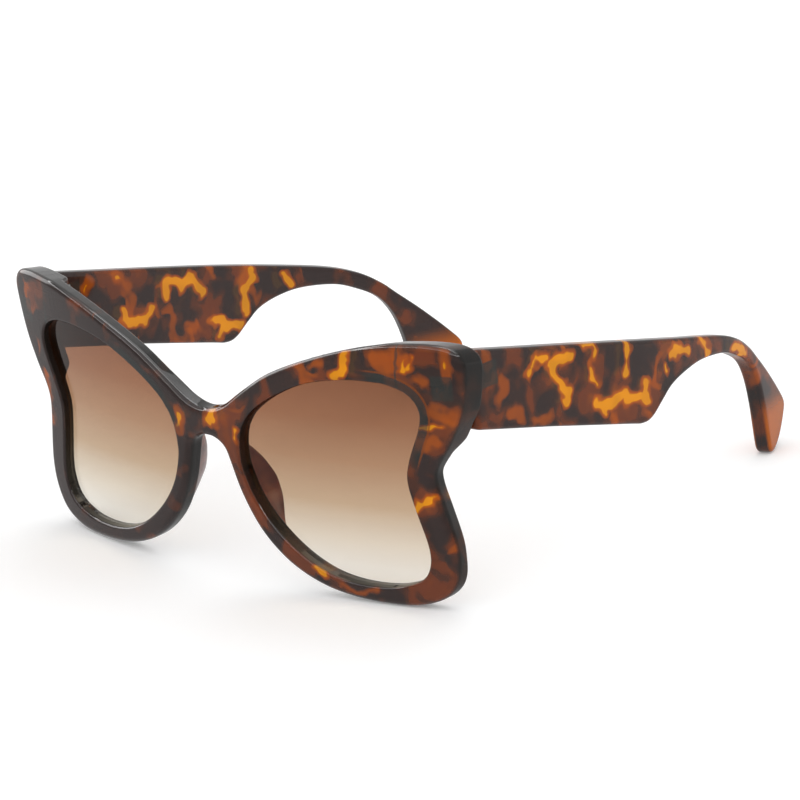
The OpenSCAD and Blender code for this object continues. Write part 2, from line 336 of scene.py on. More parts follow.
def beside_nose(edge):
    places = [v.index for v in edge.verts]
    joins_loops = min(places) < first_opening <= max(places)
    return not edge.link_faces or (len(edge.link_faces) == 1 and joins_loops)


print("shared rows hold", pick(front, "edges", in_shared_rows), "edges")
bpy.ops.mesh.bridge_edge_loops()
pick(front, "edges", beside_nose)
bpy.ops.mesh.edge_face_add()
apply(front, "MIRROR", use_axis=(True, False, False), use_clip=True, merge_threshold=MIRROR_MERGE)
print("flat front:", len(front.data.vertices), "points,", len(front.data.polygons), "faces")

# %% [markdown]
# Extruding the band gives the front its thickness. Tumbling then rounds every edge of such a
# frame: the outer edge of the face the most, the walls of the lens openings the least. The
# sharp edges are found by their angle, sorted by their place, and bevelled in three goes. The
# faces are still large then, so no narrow face gets in the way of a wide bevel.

# %% Thickness and rounded edges
OUTER_ROUND = 1.7 * MM
BACK_ROUND = 0.8 * MM
OPENING_ROUND = 0.7 * MM
ROUND_STEPS = 6
FACE_SIDE = 0.25 * RIM_DEPTH
BACK_SIDE = 0.9 * RIM_DEPTH
SHARP_EDGE = math.radians(50)
MIDDLE_LEFT_OUT = 0.2 * MM


def line_tree(places):
    tree = kdtree.KDTree(len(places))
    for index, place in enumerate(places):
        tree.insert((place.x, 0, place.z), index)
    tree.balance()
    return tree


def half_place(place):
    return Vector((abs(place.x), 0, place.z))


outer_tree = line_tree([p for p in outer_line if p.x > MIDDLE_LEFT_OUT])
opening_tree = line_tree(opening_line)


def at_opening(place):
    return opening_tree.find(half_place(place))[2] < outer_tree.find(half_place(place))[2]


def round_edges(piece, width, rule):
    edit(piece, "EDGE")
    bpy.ops.mesh.select_all(action="DESELECT")
    bpy.ops.mesh.edges_select_sharp(sharpness=SHARP_EDGE)
    mesh = bmesh.from_edit_mesh(piece.data)
    for edge in mesh.edges:
        if edge.select and not rule((edge.verts[0].co + edge.verts[1].co) / 2):
            edge.select_set(False)
    mesh.select_flush_mode()
    bmesh.update_edit_mesh(piece.data)
    bpy.ops.mesh.bevel(offset=width, offset_type="OFFSET", segments=ROUND_STEPS, profile=0.5,
                       affect="EDGES", clamp_overlap=False, loop_slide=False)
    bpy.ops.object.mode_set(mode="OBJECT")


thicken(front, (0, RIM_DEPTH, 0))
round_edges(front, OUTER_ROUND, lambda middle: middle.y < FACE_SIDE and not at_opening(middle))
round_edges(front, BACK_ROUND, lambda middle: middle.y > BACK_SIDE and not at_opening(middle))
round_edges(front, OPENING_ROUND, at_opening)
print("rounded front:", len(front.data.polygons), "faces")

# %% [markdown]
# The large faces are sliced every few millimetres so that they can bend. A straight cut can go
# wrong on a face with a hollow outline, so the faces with many corners are split into triangles
# first. More slices, close together, go where the back of each end piece is pushed out to the
# depth that takes a hinge, with a short slope beside it, as on the real moulding. The top walls
# of the brows and the outer walls under the wings close in a little towards the back.

# %% Slices and end pieces
END_FROM = 0.738
END_FULL = 0.772
END_LOW = 0.575
END_HIGH = 0.630
END_BEHIND = (0.42, 0.70)
WALL_SLOPE = math.radians(12)
TOP_SLOPED = (0.66, 0.80)
SIDE_SLOPED = (0.60, 0.70)
SIDE_LOW = (0.08, 0.20)
SIDE_HIGH = (0.50, END_LOW)
SLICE = 3 * MM
FINE_SLICES = 6


def end_share(place):
    across = abs(place.x) / HALF_WIDTH
    up = place.z / HEIGHT
    return smooth_step(END_FROM, END_FULL, across) * smooth_step(END_LOW, END_HIGH, up)


def slice_at(piece, places, normal):
    edit(piece, "FACE")
    pick(piece, "faces", lambda face: len(face.verts) > 4)
    bpy.ops.mesh.quads_convert_to_tris(ngon_method="BEAUTY")
    for place in places:
        bpy.ops.mesh.select_all(action="SELECT")
        bpy.ops.mesh.bisect(plane_co=place, plane_no=normal)
    bpy.ops.object.mode_set(mode="OBJECT")


def spaced(low, high, count):
    return [low + (high - low) * k / (count - 1) for k in range(count)]


half_slices = [k * SLICE for k in range(1, int(HALF_WIDTH / SLICE) + 1)]
half_slices += [share * HALF_WIDTH for share in spaced(END_FROM, END_FULL, FINE_SLICES)]
slice_at(front, [(side * x, 0, 0) for x in half_slices for side in (-1, 1)], (1, 0, 0))
slice_at(front, [(0, 0, share * HEIGHT) for share in spaced(END_LOW, END_HIGH, FINE_SLICES)], (0, 0, 1))


def deepen_end(place):
    behind = smooth_step(*END_BEHIND, place.y / RIM_DEPTH)
    return place + Vector((0, (END_DEPTH - RIM_DEPTH) * end_share(place) * behind, 0))


def slope_walls(place):
    to_opening = opening_tree.find(half_place(place))[2]
    to_outer = outer_tree.find(half_place(place))[2]
    inward = place.y * math.tan(WALL_SLOPE) * to_opening / (to_opening + to_outer)
    up = place.z / HEIGHT
    on_side = smooth_step(*SIDE_SLOPED, abs(place.x) / HALF_WIDTH)
    on_side *= smooth_step(*SIDE_LOW, up) * (1 - smooth_step(*SIDE_HIGH, up))
    return place - inward * Vector((math.copysign(on_side, place.x), 0, smooth_step(*TOP_SLOPED, up)))


move_points(front, deepen_end)
move_points(front, slope_walls)
print("front depth:", round(max(v.co.y for v in front.data.vertices) / MM, 2), "mm at the end pieces")

# %% [markdown]
# In clear acetate the walls look darker than the broad faces, because there the eye looks
# along the sheet; here that darker look is painted shade. Inner forms show through as well. So
# two values are kept with the points before the front is bent: the distance from the opening,
# and how far a point belongs to a wall.

# %% Values kept with the points
WALL_TURNED = (0.3, 0.8)


def keep_value(piece, name, rule):
    values = [rule(point) for point in piece.data.vertices]
    piece.data.attributes.new(name, "FLOAT", "POINT").data.foreach_set("value", values)


def keep_walls(piece, axis):
    keep_value(piece, "wall", lambda point: smooth_step(*WALL_TURNED, 1 - abs(point.normal[axis])))


keep_value(front, "from_opening", lambda point: opening_tree.find(half_place(point.co))[2])
keep_walls(front, 1)
move_points(front, on_wrap)
depths = [point.co.y for point in front.data.vertices]
print("bent front is", round((max(depths) - min(depths)) / MM, 1), "mm deep")

# %% [markdown]
# A boolean cut is the way a maker mills a recess: a block of the recess's size is placed where
# the hinge sits and taken away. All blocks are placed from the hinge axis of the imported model,
# with the same small clearance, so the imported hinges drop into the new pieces.

# %% Hinge recesses
RECESS_RISE = 1.6 * MM
POCKET_GAP = 0.3 * MM
FRONT_LEAF_LONG = 7 * MM
TEMPLE_LEAF_LONG = 5 * MM
LEAF_COVER = 0.8 * MM
TEMPLE_LEAF_START = 2.2 * MM
KNUCKLE_GAP = 0.1 * MM
KNUCKLE_TALL = (HINGE_TALL - 2 * KNUCKLE_GAP) / 3

hinge_place = Matrix.Translation(hinge_point) @ Matrix.Rotation(LEAN, 4, "X")
end_face_place = hinge_place @ Matrix.Rotation(hinge_turn, 4, "Z")
leaf_place = hinge_place @ Matrix.Rotation(-TEMPLE_SLOPE - LEAN, 4, "X")


def block(name, low, high, place):
    low, high = Vector(low), Vector(high)
    cutter = new_piece(name, bpy.ops.mesh.primitive_cube_add, size=1)
    sizes = Matrix.Diagonal((*(high - low), 1))
    cutter.matrix_world = place @ Matrix.Translation((low + high) / 2) @ sizes
    place_at_origin(cutter)
    return cutter


def other_side(piece, name):
    only(piece)
    bpy.ops.object.duplicate()
    copy = bpy.context.object
    copy.name = name
    copy.data.name = name
    copy.scale.x = -1
    place_at_origin(copy)
    face_outward(copy)
    return copy


def cut_away(piece, cutter):
    apply(piece, "BOOLEAN", object=cutter, operation="DIFFERENCE", solver="EXACT")
    bpy.data.objects.remove(cutter, do_unlink=True)


half_tall = HINGE_TALL / 2 + FIT_GAP
leaf_recess = block("leaf_recess", (-FRONT_LEAF_LONG - FIT_GAP, -axis_back - LEAF_THICK, -half_tall),
                    (FIT_GAP, -axis_back + RECESS_RISE, half_tall), end_face_place)
other_recess = other_side(leaf_recess, "other_recess")
cut_away(front, leaf_recess)
cut_away(front, other_recess)
print("front after its recesses:", len(front.data.polygons), "faces")


# %% [markdown]
# Long even faces beside narrow rounded ones shade best when each point's normal follows its
# largest faces. The Weighted Normal modifier does that, and it is applied last on every piece.

# %% Shading of finished pieces
SMOOTH_BELOW = math.radians(40)
LARGE_FACE_WEIGHT = 80


def finish_shape(piece, body, slot, *nodes):
    only(piece)
    bpy.ops.object.shade_smooth_by_angle(angle=SMOOTH_BELOW)
    apply(piece, "WEIGHTED_NORMAL", keep_sharp=True, weight=LARGE_FACE_WEIGHT)
    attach(piece, body)
    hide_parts(*nodes)
    triangles = sum(len(face.vertices) - 2 for face in piece.data.polygons)
    print(piece.name, "has", triangles, "triangles")


finish_shape(front, "front", "tortoise", "front_frame")

# %% [markdown]
# A lens is a thin sheet that snaps into the groove of its rim, so its edge lies half a
# millimetre outside the opening. One face is filled inside that edge, and then inset and
# shrunk towards the middle again and again, which gives rings of quads that bend smoothly.

# %% Lenses
LENS_RING_START = 0.01 * MM
LENS_RING_SHRINK = (0.90, 0.88, 0.86, 0.84, 0.80, 0.74, 0.62, 0.40)
lens_middle = on_sheet(0.500, 0.464)


def grow_line(line, by):
    grown = []
    for i, place in enumerate(line):
        along = line[(i + 1) % len(line)] - line[i - 1]
        grown.append(place + Vector((-along.z, 0, along.x)).normalized() * by)
    return grown


lens_line = [place + Vector((0, LENS_SET_BACK, 0)) for place in grow_line(opening_line, LENS_EDGE_IN)]
lens_left = loop_of("lens_glass_left", lens_line, "NGON")
edit(lens_left, "FACE")
for shrink in LENS_RING_SHRINK:
    bpy.ops.mesh.inset(thickness=LENS_RING_START)
    bpy.ops.transform.resize(value=(shrink, 1, shrink), center_override=lens_middle)
thicken(lens_left, (0, LENS_THICK, 0))
move_points(lens_left, on_wrap)
lens_right = other_side(lens_left, "lens_glass_right")
finish_shape(lens_left, "front", "lens", "lens_left")
finish_shape(lens_right, "front", "lens", "lens_right")

# %% [markdown]
# The nose pads are thin fins that stand on the backs of the rims beside the nose. A grid is the
# start: one way runs along the rim, the other goes up the lens side of the fin, over its rounded
# edge and down the nose side. Both rims of the grid end inside the front.

# %% Nose pads
PAD_REACH = 4.75 * MM
PAD_EDGE = 1.4 * MM
PAD_SPLAY = math.radians(24)
PAD_ROOT = 0.26
PAD_FACE = 0.80
PAD_SINK = 0.5 * MM
pad_rows = [(0.220, 0.173, 0.271, 0.216), (0.189, 0.210, 0.243, 0.248), (0.165, 0.250, 0.220, 0.278),
            (0.143, 0.295, 0.199, 0.311), (0.123, 0.341, 0.180, 0.344), (0.110, 0.379, 0.167, 0.381),
            (0.098, 0.425, 0.155, 0.418), (0.088, 0.470, 0.146, 0.452), (0.079, 0.512, 0.142, 0.485),
            (0.076, 0.545, 0.142, 0.510)]
pad_reaches = [0.10, 0.36, 0.62, 0.84, 0.97, 1.00, 0.90, 0.74, 0.45, 0.10]
PAD_STEPS = 4
SECTION_STEPS = 2

pad_lines = open_curve([on_sheet(row[0], row[1]) for row in pad_rows], PAD_STEPS)
pad_openings = open_curve([on_sheet(row[2], row[3]) for row in pad_rows], PAD_STEPS)
reach_line = open_curve([Vector((share, 0, 0)) for share in pad_reaches], PAD_STEPS)


def pad_section(outer, opening, share):
    wide = (outer - opening).length
    out = (outer - opening).normalized()
    reach = PAD_REACH * share
    slant = reach * math.tan(PAD_SPLAY)
    face = wide * PAD_FACE
    root = wide * PAD_ROOT
    tip = face - slant - PAD_EDGE / 2
    halfway = (root + tip - PAD_EDGE / 2) / 2
    # Up the lens side of the fin, over its rounded edge, and down the nose side.
    outline = [(root, -PAD_SINK), (root * 0.9 + tip * 0.1, reach * 0.12), (halfway, reach * 0.62),
               (tip - PAD_EDGE * 0.42, reach * 0.93), (tip, reach), (tip + PAD_EDGE * 0.45, reach * 0.95),
               (face - slant * 0.5, reach * 0.5), (face, -PAD_SINK)]
    row = open_curve([Vector((a, b, 0)) for a, b in outline], SECTION_STEPS)
    return [opening + out * p.x + Vector((0, RIM_DEPTH + p.y, 0)) for p in row]


pad_sections = [pad_section(a, b, s.x) for a, b, s in zip(pad_lines, pad_openings, reach_line)]
pad_places = [place for section in pad_sections for place in section]
pad_left = shaped_piece("nose_fin_left", bpy.ops.mesh.primitive_grid_add, pad_places, size=1,
                        x_subdivisions=len(pad_sections[0]) - 1, y_subdivisions=len(pad_sections) - 1)
edit(pad_left, "EDGE")
bpy.ops.mesh.select_all(action="DESELECT")
bpy.ops.mesh.select_non_manifold()
bpy.ops.mesh.edge_face_add()
face_outward(pad_left)
move_points(pad_left, on_wrap)
pad_right = other_side(pad_left, "nose_fin_right")
finish_shape(pad_left, "front", "pad", "nose_pad_left")
finish_shape(pad_right, "front", "pad", "nose_pad_right")

# %% [markdown]
# A temple is cut from flat sheet. Its outline is the deep blade by the hinge, the arch over the
# ear and the slim tail with its slanted tip. The filled outline is extruded to its thickness,
# cut off square to the end piece, rounded, and sliced into strips so that it can bend.

# %% Temple blank
temple_rows = [
    (0.227, 0.892), (0.367, 0.816), (0.513, 0.735), (0.624, 0.671), (0.752, 0.593),
    (0.817, 0.535), (0.858, 0.475), (0.889, 0.412), (0.929, 0.328), (0.976, 0.218),
    (0.998, 0.152), (0.990, 0.103), (0.961, 0.036), (0.929, 0.001), (0.911, 0.018),
    (0.904, 0.078), (0.894, 0.215), (0.877, 0.331), (0.849, 0.417), (0.806, 0.477),
    (0.761, 0.517), (0.692, 0.541), (0.639, 0.535), (0.595, 0.512), (0.565, 0.472),
    (0.536, 0.430), (0.511, 0.421), (0.467, 0.447), (0.290, 0.556)]
temple_root = [(0.060, 0.690), (0.060, 0.984)]
inward_rows = [(0.050, 0), (0.300, -0.03), (0.480, -0.04), (0.600, 0.02), (0.690, 0.14),
               (0.780, 0.31), (0.860, 0.52), (0.930, 0.75), (1.010, 1.04), (1.060, 1.24)]
TEMPLE_STEPS = 6
INWARD_STEPS = 8
STRIP = 2.5 * MM
TEMPLE_ROUND = 1.1 * MM

temple_line = open_curve([Vector((0, a * DEPTH, b * HEIGHT)) for a, b in temple_rows], TEMPLE_STEPS)
temple_line += [Vector((0, a * DEPTH, b * HEIGHT)) for a, b in temple_root]
lowest = min(p.z for p in temple_line)
back_shift = packed_bounds[1][1] - max(p.y for p in temple_line)
temple_line = [p + Vector((temple_x, back_shift, -lowest)) for p in temple_line]

temple_left = loop_of("temple_arm_left", temple_line, "NGON")
thicken(temple_left, (-TEMPLE_THICK, 0, 0))
edit(temple_left, "FACE")
butt_point = end_face_place @ Vector((0, -axis_back + BUTT_GAP, 0))
butt_normal = end_face_place.to_3x3() @ Vector((0, 1, 0))
bpy.ops.mesh.bisect(plane_co=butt_point, plane_no=butt_normal, use_fill=True, clear_inner=True)
bpy.ops.object.mode_set(mode="OBJECT")
round_edges(temple_left, TEMPLE_ROUND, lambda middle: True)
temple_start = min(v.co.y for v in temple_left.data.vertices)
temple_end = max(v.co.y for v in temple_left.data.vertices)
strips = [temple_start + k * STRIP for k in range(1, int((temple_end - temple_start) / STRIP) + 1)]
slice_at(temple_left, [(0, y, 0) for y in strips], (0, 1, 0))
print("temple blank:", len(temple_left.data.polygons), "faces")


# %% [markdown]
# The arms bow slightly outward beside the head and turn in behind the ears, as they would be
# bent after warming. Every point of the blank moves to the bend line and turns with it. Then
# the spaces for the leaf, the neck and the barrel of the hinge are cut out, as in the CAD
# temple, and the right arm mirrors the left one.

# %% Bent temples with their hinge recesses
BARREL_SIDES = 48
inward_line = open_curve([Vector((a * DEPTH + back_shift, b * TAIL_INWARD, 0)) for a, b in inward_rows],
                         INWARD_STEPS)


def inward_at(y):
    for a, b in zip(inward_line, inward_line[1:]):
        if y <= b.x or b is inward_line[-1]:
            t = (y - a.x) / (b.x - a.x)
            return a.y + (b.y - a.y) * t, math.atan2(b.y - a.y, b.x - a.x)


def bend_inward(place):
    inward, turn = inward_at(place.y)
    deep = temple_x - place.x
    return Vector((temple_x - inward - deep * math.cos(turn), place.y - deep * math.sin(turn), place.z))


keep_walls(temple_left, 0)
move_points(temple_left, bend_inward)
leaf_low = LEAF_SIDE_GAP + LEAF_COVER - FIT_GAP
leaf_high = leaf_low + LEAF_THICK + 2 * FIT_GAP
leaf_end = TEMPLE_LEAF_START + TEMPLE_LEAF_LONG + FIT_GAP
half_knuckle = KNUCKLE_TALL / 2 + FIT_GAP
leaf_cut = block("leaf_cut", (leaf_low, TEMPLE_LEAF_START - FIT_GAP, -half_tall),
                 (leaf_high, leaf_end, half_tall), leaf_place)
neck_cut = block("neck_cut", (-FIT_GAP, -FIT_GAP, -half_knuckle),
                 (leaf_low + LEAF_THICK / 2, TEMPLE_LEAF_START + LEAF_THICK, half_knuckle), hinge_place)
barrel_cut = new_piece("barrel_cut", bpy.ops.mesh.primitive_cylinder_add, vertices=BARREL_SIDES,
                       radius=BARREL_RADIUS + POCKET_GAP, depth=4 * HINGE_TALL)
barrel_cut.matrix_world = hinge_place
place_at_origin(barrel_cut)
for cutter in (leaf_cut, neck_cut, barrel_cut):
    cut_away(temple_left, cutter)
temple_right = other_side(temple_left, "temple_arm_right")
finish_shape(temple_left, "temple_left", "tortoise", "temple_left")
finish_shape(temple_right, "temple_right", "tortoise", "temple_right")

# %% [markdown]
# A material is a graph of small nodes. Each helper below makes one node, sets or links its
# inputs and hands back what it puts out, so a graph can be written like a sum. Most shapes are
# drawn as shares from 0 to 1: a value is between two limits, or inside a span with soft
# borders. Colours are given as they look on a screen and turned into linear light.

# %% Node helpers
NOISE_MIDDLE = 0.5


def put(tree, socket, value):
    if isinstance(value, bpy.types.NodeSocket):
        tree.links.new(value, socket)
    else:
        socket.default_value = value


def node(tree, kind, inputs=(), **settings):
    made = tree.nodes.new(kind)
    for key, value in settings.items():
        setattr(made, key, value)
    for key, value in dict(inputs).items():
        put(tree, made.inputs[key], value)
    return made


def maths(tree, operation, *values, clamp=False):
    made = node(tree, "ShaderNodeMath", enumerate(values), operation=operation, use_clamp=clamp)
    return made.outputs[0]


def times(tree, product, *values):
    for value in values:
        product = maths(tree, "MULTIPLY", product, value)
    return product


def vectors(tree, operation, first, second):
    return node(tree, "ShaderNodeVectorMath", {0: first, 1: second}, operation=operation).outputs


def along_way(tree, vector, way):
    return vectors(tree, "DOT_PRODUCT", vector, way)["Value"]


def scaled(tree, vector, by):
    return node(tree, "ShaderNodeVectorMath", {0: vector, "Scale": by}, operation="SCALE").outputs[0]


def split(tree, vector):
    return node(tree, "ShaderNodeSeparateXYZ", {0: vector}).outputs


def spread(tree, value, low, high, start=0.0, end=1.0, kind="LINEAR"):
    made = node(tree, "ShaderNodeMapRange", {"Value": value, "From Min": low, "From Max": high,
                                             "To Min": start, "To Max": end}, interpolation_type=kind)
    return made.outputs["Result"]


def between(tree, value, low, high):
    return spread(tree, value, low, high, kind="SMOOTHSTEP")


def inside_span(tree, value, low, high, soft):
    return times(tree, between(tree, value, low - soft, low + soft),
                 between(tree, value, high + soft, high - soft))


def noise(tree, vector, scale, detail=1.0, roughness=0.5):
    return node(tree, "ShaderNodeTexNoise", {"Vector": vector, "Scale": scale, "Detail": detail,
                                             "Roughness": roughness}).outputs["Fac"]


def rgb(red, green, blue):
    def linear(value):
        value /= 255
        return value / 12.92 if value <= 0.04045 else ((value + 0.055) / 1.055) ** 2.4
    return linear(red), linear(green), linear(blue)


print("middle grey is", round(rgb(128, 128, 128)[0], 3), "of full light")

# %% [markdown]
# The second set of helpers works with whole colours and shaders. A ramp turns a share into
# tones, a mix lays one colour over another, and new materials and node groups start empty,
# with their named sockets ready. A Mix node has sockets for every kind of data, so those for
# numbers and for colours are chosen by their place in its row.

# %% Colour and shader helpers
MIX_NUMBERS = (2, 3)
MIX_COLOURS = (6, 7)
MIXED_COLOUR = 2


def ramp(tree, value, stops, blend="LINEAR"):
    made = node(tree, "ShaderNodeValToRGB", {"Fac": value})
    made.color_ramp.interpolation = blend
    while len(made.color_ramp.elements) < len(stops):
        made.color_ramp.elements.new(0.5)
    for element, (place, colour) in zip(made.color_ramp.elements, stops):
        element.position = place
        element.color = (*colour, 1)
    return made.outputs["Color"]


def mix_colour(tree, share, first, second):
    made = node(tree, "ShaderNodeMix", {0: share}, data_type="RGBA")
    for index, colour in zip(MIX_COLOURS, (first, second)):
        put(tree, made.inputs[index], (*colour, 1) if isinstance(colour, tuple) else colour)
    return made.outputs[MIXED_COLOUR]


def mix_numbers(tree, share, first, second):
    return node(tree, "ShaderNodeMix", {0: share, **dict(zip(MIX_NUMBERS, (first, second)))}).outputs[0]


def mix_shaders(tree, share, first, second):
    return node(tree, "ShaderNodeMixShader", {"Fac": share, 1: first, 2: second}).outputs[0]


def shader(tree, kind, **inputs):
    return node(tree, kind, {name.replace("_", " "): value for name, value in inputs.items()}).outputs[0]


def principled(tree, **inputs):
    return shader(tree, "ShaderNodeBsdfPrincipled", **inputs)


def object_place(tree):
    return node(tree, "ShaderNodeTexCoord").outputs["Object"]


def ray_kinds(tree):
    return node(tree, "ShaderNodeLightPath").outputs


def material(name):
    made = bpy.data.materials.new(name)
    made.use_nodes = True
    made.node_tree.nodes.clear()
    return made, made.node_tree, made.node_tree.nodes.new("ShaderNodeOutputMaterial").inputs["Surface"]


def new_group(name, inputs, outputs):
    group = bpy.data.node_groups.new(name, "ShaderNodeTree")
    for way, sockets in (("INPUT", inputs), ("OUTPUT", outputs)):
        for label, kind in sockets.items():
            group.interface.new_socket(label, in_out=way, socket_type="NodeSocket" + kind)
    return group, group.nodes.new("NodeGroupInput").outputs, group.nodes.new("NodeGroupOutput").inputs


print("materials of the packed model:", len(bpy.data.materials))

# %% [markdown]
# Tortoise acetate is pressed from broken sheets, so its clouds have soft but clear borders, and
# they run through the whole thickness. Solid noise in Object coordinates does the same and flows
# round every edge. One noise, swirled by another, gives the clouds, and a ramp colours them from
# nearly black to russet. Where the clouds are lighter, thin honey veins run through them.

# %% Tortoise pattern
NIGHT = rgb(58, 45, 43)
UMBER = rgb(88, 52, 39)
CHESTNUT = rgb(122, 62, 36)
RUSSET = rgb(138, 66, 30)
DEEP = rgb(34, 34, 32)
HONEY = rgb(198, 94, 8)
AMBER = rgb(252, 162, 2)
CLOUD_STOPS = [(0.38, NIGHT), (0.43, NIGHT), (0.48, UMBER), (0.55, CHESTNUT), (0.62, CHESTNUT),
               (0.70, RUSSET)]
CLOUD_SCALE = 118.0
CLOUD_SWIRL_SCALE = 150.0
CLOUD_SWIRL = 5 * MM
PATCH_SCALE = 70.0
PATCH_SPAN = (0.50, 0.68)
LIGHT_CLOUDS = (0.41, 0.49)
VEIN_SCALE = 96.0
VEIN_LEVEL = 0.53
VEIN_WIDTH = 0.030
VEIN_EDGE = (-0.030, 0.010)
VEIN_STRENGTH = 0.6


def warped_by(tree, vector, scale, amount):
    swirl = node(tree, "ShaderNodeTexNoise", {"Vector": vector, "Scale": scale, "Detail": 1.0})
    centred = vectors(tree, "SUBTRACT", swirl.outputs["Color"], (NOISE_MIDDLE,) * 3)[0]
    return vectors(tree, "ADD", vector, scaled(tree, centred, amount))[0]


tortoise_group, inside, outside = new_group("tortoise_clouds", {"Vector": "Vector", "Darkness": "Float"},
                                            {"Colour": "Color", "Light": "Float"})
tree = tortoise_group
warped = warped_by(tree, inside["Vector"], CLOUD_SWIRL_SCALE, CLOUD_SWIRL)
clouds = noise(tree, warped, CLOUD_SCALE, detail=2.0, roughness=0.45)
clouds = maths(tree, "SUBTRACT", clouds, inside["Darkness"])
patches = between(tree, noise(tree, inside["Vector"], PATCH_SCALE), *PATCH_SPAN)
plenty = times(tree, patches, between(tree, clouds, *LIGHT_CLOUDS))
veins = noise(tree, warped, VEIN_SCALE, roughness=0.4)
away = maths(tree, "ABSOLUTE", maths(tree, "SUBTRACT", veins, VEIN_LEVEL))
nearness = maths(tree, "SUBTRACT", times(tree, plenty, VEIN_WIDTH), away)
honey_here = times(tree, between(tree, nearness, *VEIN_EDGE), plenty, VEIN_STRENGTH)
put(tree, outside["Colour"], mix_colour(tree, honey_here, ramp(tree, clouds, CLOUD_STOPS, "EASE"), HONEY))
put(tree, outside["Light"], clouds)
print("tortoise pattern:", len(tree.nodes), "nodes")

# %% [markdown]
# The bright amber streaks are what the eye knows this sheet by, so they are listed one by one. A
# streak is a chain of short lines with a half width in millimetres. It runs through the whole
# thickness, so two coordinates are enough: across and up on the front, back and up on a temple.

# %% Amber streaks
FRONT_AMBER = [
    (0.8, (42.5, 57.5), (42.5, 55.5), (42, 54), (41, 52.5), (39.5, 51)), (0.1, (56.5, 57), (56.5, 54.5)),
    (0.3, (58.5, 57.5), (57.5, 55)), (0.1, (66.5, 57.5), (66.5, 56)), (0.4, (59, 41), (64, 42)),
    (0.6, (55.5, 23), (57, 24.5), (60.5, 25.5)), (0.6, (28, 6.5), (30.5, 5.5)),
    (1.1, (1, 37), (2.5, 38), (3.5, 37)), (0.4, (-8, 37), (-8.5, 34.5)), (0.3, (10, 35.5), (9.5, 33.5))]
FRONT_HONEY = [
    (1.4, (50.5, 56), (53, 55), (56, 56.5)), (0.7, (59, 52), (61, 51)), (1.0, (62, 45.5), (67, 44)),
    (0.8, (58, 38), (62, 38)), (0.8, (66.5, 58.5), (66.5, 53.5)), (1.0, (-8, 37.5), (-8.5, 33.5)),
    (0.8, (-60.5, 36), (-59.5, 31)), (0.6, (-60.5, 25), (-60.5, 24)),
    (0.3, (34, 3.5), (38, 2), (44, 3.5)), (0.5, (33, 52.5), (36, 54))]
NEAR_AMBER = [
    (0.6, (-33, 46.5), (-31, 48.5), (-29.5, 50), (-27, 49)), (0.8, (-26, 47.5), (-23, 48), (-19.5, 47)),
    (0.8, (-25.5, 47.5), (-24.5, 44), (-23, 41.5), (-21, 39), (-22, 38)),
    (0.7, (-15.5, 48.5), (-12, 48), (-12, 45.5)), (0.6, (-13.5, 43), (-13.5, 41), (-12, 39.5)),
    (0.9, (-13, 35), (-10, 33.5), (-8, 33), (-4.5, 34.5), (-2.5, 32.5)),
    (0.9, (-2.5, 32.5), (2.5, 30.5), (3, 33.5)), (0.5, (-10, 33.5), (-10, 31.5)),
    (0.7, (-1.5, 45), (-2, 42.5), (-3.5, 39)), (0.8, (12, 38), (15, 38.5), (18, 37)),
    (0.4, (10, 35.5), (10.5, 34)), (0.8, (25, 37.5), (26, 36), (26.5, 33.5)),
    (0.9, (38.5, 31), (41, 30), (44, 28.5))]
NEAR_HONEY = [
    (0.9, (-45, 55), (-45, 52.5)), (0.9, (-41, 48), (-40.5, 46), (-42, 44)),
    (1.0, (-39, 40), (-36.5, 40), (-36, 38)), (0.8, (-31.5, 36), (-28.5, 35.5)),
    (0.6, (-8, 30), (-7.5, 28.5)), (0.8, (50, 21), (50.5, 19.5)), (0.5, (-20, 51), (-15, 49))]
FAR_AMBER = [
    (0.9, (-30, 42), (-28, 39), (-23.5, 38), (-21, 40)),
    (0.9, (-16, 42.5), (-15.5, 45), (-13, 45), (-11, 43)),
    (0.9, (-11, 43), (-7.5, 43.5), (-6, 41.5), (-5, 39.5)),
    (0.8, (10.5, 41), (10.5, 39), (8, 36.5), (8, 33), (8, 31)),
    (0.1, (-30.5, 51), (-28.5, 48.5)), (0.2, (-39.5, 51.5), (-40.5, 50)),
    (0.9, (-2, 31.5), (1, 31.5), (2.5, 29.5), (6, 28)), (0.7, (0.5, 30), (-0.5, 27.5)),
    (0.6, (20, 37.5), (20.5, 35.5), (21, 34))]
FAR_HONEY = [
    (0.6, (-1, 44), (-0.5, 42.5)), (0.8, (-31.5, 52), (-29, 49.5), (-27.5, 47)),
    (1.1, (-39, 52), (-40.5, 50.5)), (0.6, (-11, 33), (-8, 31.5))]
STREAK_TABLES = (FRONT_AMBER, FRONT_HONEY, NEAR_AMBER, NEAR_HONEY, FAR_AMBER, FAR_HONEY)
print("streaks placed by hand:", sum(len(rows) for rows in STREAK_TABLES))

# %% [markdown]
# In nodes a streak is all that lies within about its half width of one of its lines, and where
# two lines meet they melt together. The place is swirled by noise first, which gives every
# streak its ragged, molten edge. A honey halo leads over to the clouds beside it.

# %% Streaks in nodes
STREAK_SWELL = 1.3 * MM
STREAK_MELT = 0.9 * MM
STREAK_SWIRL_SCALE = 210.0
STREAK_SWIRL = 3.6 * MM
UNEVEN_SCALE = 330.0
STREAK_UNEVEN = 2.4 * MM
AMBER_EDGE = (0, 0.4 * MM)
AMBER_HALO = (-0.9 * MM, 0.1 * MM)
HONEY_EDGE = (-0.9 * MM, 0.6 * MM)
HONEY_SHARE = 0.75
HALO_STRENGTH = 0.85


def distance_to_line(tree, spot, start, end):
    along = end - start
    reached = vectors(tree, "SUBTRACT", spot, start)[0]
    share = along_way(tree, reached, along / along.length_squared)
    nearest = scaled(tree, along, maths(tree, "ADD", share, 0.0, clamp=True))
    return vectors(tree, "DISTANCE", reached, nearest)["Value"]


